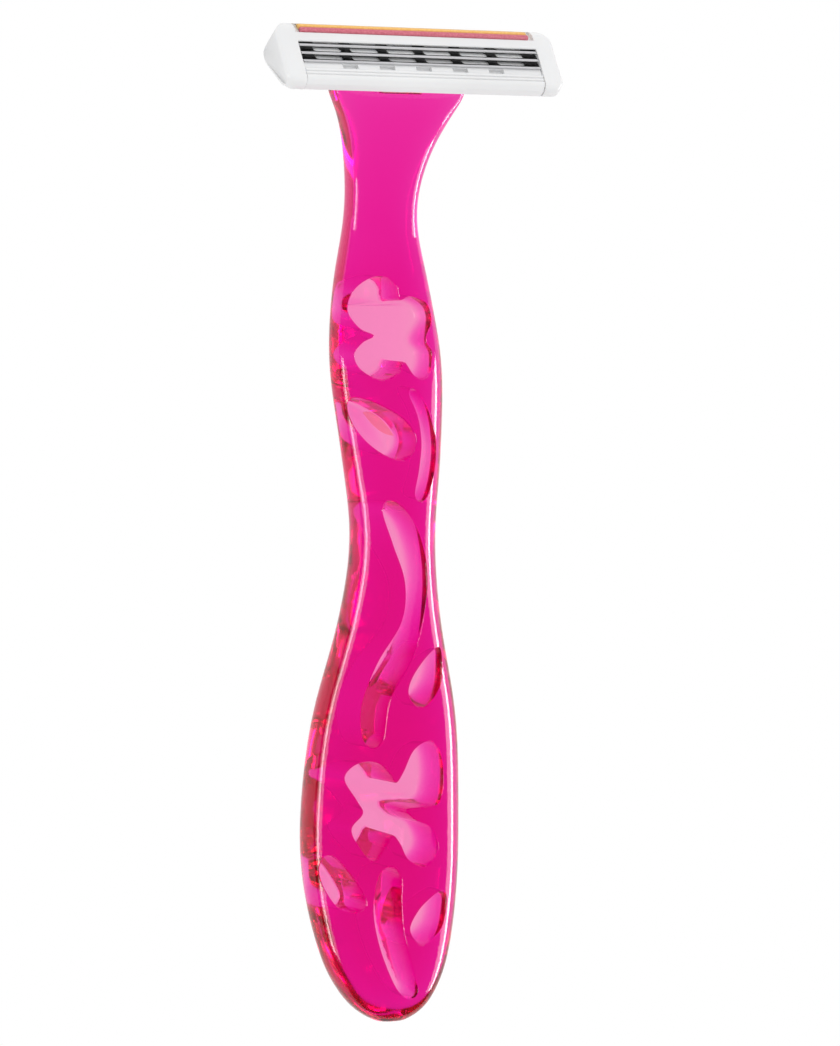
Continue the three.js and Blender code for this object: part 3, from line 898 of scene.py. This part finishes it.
def placeCamera():
    back = Vector(studio["direction"]).normalized()
    right = Vector((0, 1, 0)).cross(back).normalized()
    up = back.cross(right)
    roll = Matrix.Rotation(math.radians(studio["roll"]), 3, "Z")
    turned = Matrix((right, up, back)).transposed() @ roll
    camera = bpy.data.objects.new("camera", bpy.data.cameras.new("camera"))
    bpy.context.scene.collection.objects.link(camera)
    camera.data.lens = studio["lens"]
    camera.data.clip_start, camera.data.clip_end = studio["clip"]
    spot = Vector(studio["target"]) * mm + back * (studio["distance"] * mm)
    camera.matrix_world = Matrix.Translation(spot) @ turned.to_4x4()
    bpy.context.scene.camera = camera


def paleLight(tree, kind, gloss):
    # one brightness as seen, one as light on matt surfaces, and one in reflections
    path = tree.nodes.new("ShaderNodeLightPath")
    reflected = addNode(tree, "ShaderNodeMath", operation="MULTIPLY_ADD")
    reflected.inputs[1].default_value = gloss - studio["background"]
    reflected.inputs[2].default_value = studio["background"]
    scattered = addNode(tree, "ShaderNodeMath", operation="MULTIPLY_ADD")
    scattered.inputs[1].default_value = studio["fill"] - gloss
    glow = addNode(tree, kind, Color=(1, 1, 1, 1))
    tree.links.new(path.outputs["Is Reflection Ray"], reflected.inputs[0])
    tree.links.new(path.outputs["Is Diffuse Ray"], scattered.inputs[0])
    tree.links.new(reflected.outputs["Value"], scattered.inputs[2])
    tree.links.new(scattered.outputs["Value"], glow.inputs["Strength"])
    return glow


def makeStudio():
    world = bpy.data.worlds.new("paleStudio")
    bpy.context.scene.world = world
    world.use_nodes = True
    world.node_tree.nodes.clear()
    glow = paleLight(world.node_tree, "ShaderNodeBackground", studio["gloss"])
    output = world.node_tree.nodes.new("ShaderNodeOutputWorld")
    world.node_tree.links.new(glow.outputs["Background"], output.inputs["Surface"])
    clearSelection()
    bpy.ops.mesh.primitive_plane_add(size=studio["floorSize"], location=(0, 0, -studio["floorDrop"] * mm))
    floor = bpy.context.active_object
    floor.name = "paleFloor"
    material = bpy.data.materials.new("paleFloor")
    material.use_nodes = True
    tree = material.node_tree
    tree.nodes.clear()
    floorGlow = paleLight(tree, "ShaderNodeEmission", studio["background"])
    end = tree.nodes.new("ShaderNodeOutputMaterial")
    tree.links.new(floorGlow.outputs["Emission"], end.inputs["Surface"])
    floor.data.materials.append(material)


def addLight(name, azimuth, elevation, width, length, watts, shift, onMatt):
    # a soft light turned to the razor, for matt surfaces alone or for highlights alone
    light = bpy.data.lights.new(name, "AREA")
    light.shape = "RECTANGLE"
    light.size, light.size_y = width, length
    light.energy = watts
    holder = bpy.data.objects.new(name, light)
    bpy.context.scene.collection.objects.link(holder)
    a, e = math.radians(azimuth), math.radians(elevation)
    out = Vector((math.cos(a) * math.cos(e), math.sin(a) * math.cos(e), math.sin(e)))
    side = Vector((0, 0, 1)).cross(out).normalized()
    turned = Matrix((out.cross(side) * -1, side, out)).transposed()
    spot = out * studio["lightReach"] + Vector((0, shift, 0))
    holder.matrix_world = Matrix.Translation(spot) @ turned.to_4x4()
    holder.visible_camera = False
    holder.visible_diffuse = onMatt
    holder.visible_glossy = not onMatt


placeCamera()
makeStudio()
for lightName, lightSettings in studio["lights"].items():
    addLight(lightName, *lightSettings)
bpy.context.scene.view_settings.view_transform = "Standard"
bpy.context.scene.cycles.max_bounces = studio["bounces"]
bpy.context.scene.cycles.transmission_bounces = studio["bounces"]
bpy.context.scene.cycles.glossy_bounces = studio["glossBounces"]
print("studio set")
